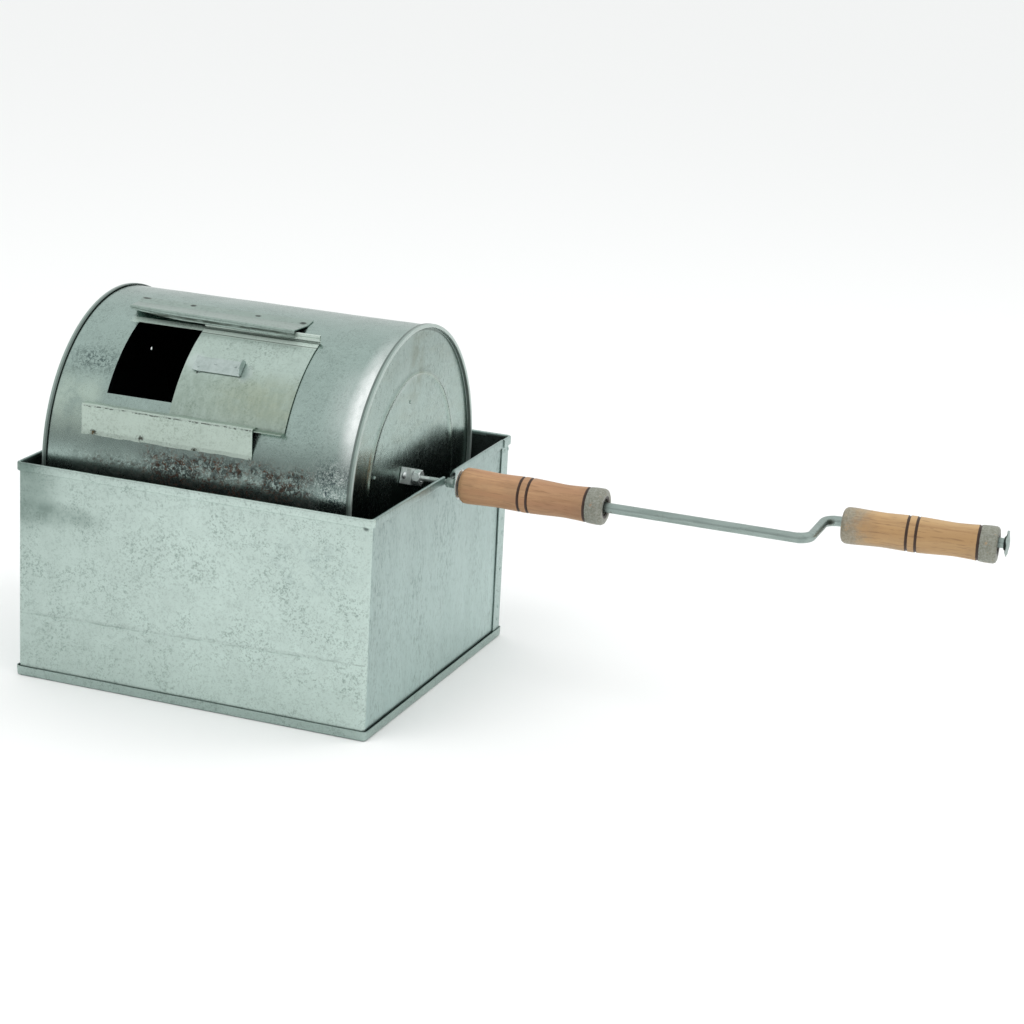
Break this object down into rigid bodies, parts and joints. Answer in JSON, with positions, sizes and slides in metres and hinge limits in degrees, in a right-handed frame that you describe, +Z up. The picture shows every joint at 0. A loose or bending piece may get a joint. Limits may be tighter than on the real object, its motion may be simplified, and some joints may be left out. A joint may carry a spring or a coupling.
{
  "type": "hand-cranked drum roaster",
  "caption": "Open galvanised fire box holding a horizontal drum with a sliding door, turned by a long crank bar with turned wooden grips.",
  "frame": {"origin": "centre of the floor pan's underside, bottom centre of the fire box", "axes": "+X along the axle towards the crank grip, +Y towards the back wall, +Z up"},
  "size_m": [0.8446, 0.3222, 0.3318],
  "materials": {
    "zinc_box": "galvanised sheet, mottled spangle, satin",
    "zinc_drum": "galvanised sheet, handled and heat-stained, semi-gloss",
    "zinc_door": "galvanised sheet, satin",
    "zinc_steel": "zinc-painted steel bar, satin",
    "fastener": "bright zinc-plated steel",
    "wood": "bare turned hardwood, fine grain, matt, burnt grooves"
  },
  "bodies": {
    "fire_box": {"wall_wrap": "zinc_box", "back_panel": "zinc_box", "floor_pan": "zinc_box"},
    "steady": {"steady_grip": "wood"},
    "drum": {"drum_shell": "zinc_drum", "rail_upper": "zinc_drum", "rail_lower": "zinc_door", "stub_axle_left": "zinc_steel", "drive_spindle": "zinc_steel", "crank_rod": "zinc_steel", "thrust_washer": "zinc_steel", "push_cap": "zinc_steel", "end_cap_left": "zinc_drum", "bracket_left": "zinc_steel", "bracket_rivet_left_front": "fastener", "bracket_rivet_left_back": "fastener", "axle_nut_left": "fastener", "axle_nut_left_inner": "fastener", "end_cap_right": "zinc_drum", "bracket_right": "zinc_steel", "bracket_rivet_right_front": "fastener", "bracket_rivet_right_back": "fastener", "axle_nut_right": "fastener", "axle_nut_right_inner": "fastener"},
    "door": {"door_panel": "zinc_door", "door_pull": "zinc_steel"},
    "crank_handle": {"crank_grip": "wood"}
  },
  "joints": [
    {"name": "drum_lift", "type": "slide", "parent": "fire_box", "child": "steady", "axis": [0, 0, 1], "range_m": [0, 0.16]},
    {"name": "drum_spin", "type": "hinge", "parent": "steady", "child": "drum", "pos_m": [0, 0, 0.1935], "axis": [1, 0, 0], "continuous": true},
    {"name": "door_slide", "type": "slide", "parent": "drum", "child": "door", "axis": [1, 0, 0], "range_m": [-0.081, 0.03]},
    {"name": "crank_grip_spin", "type": "hinge", "parent": "drum", "child": "crank_handle", "pos_m": [0.5236, 0.06113, 0.19304], "axis": [0.9976, 0.0697, 0.0023], "continuous": true}
  ]
}
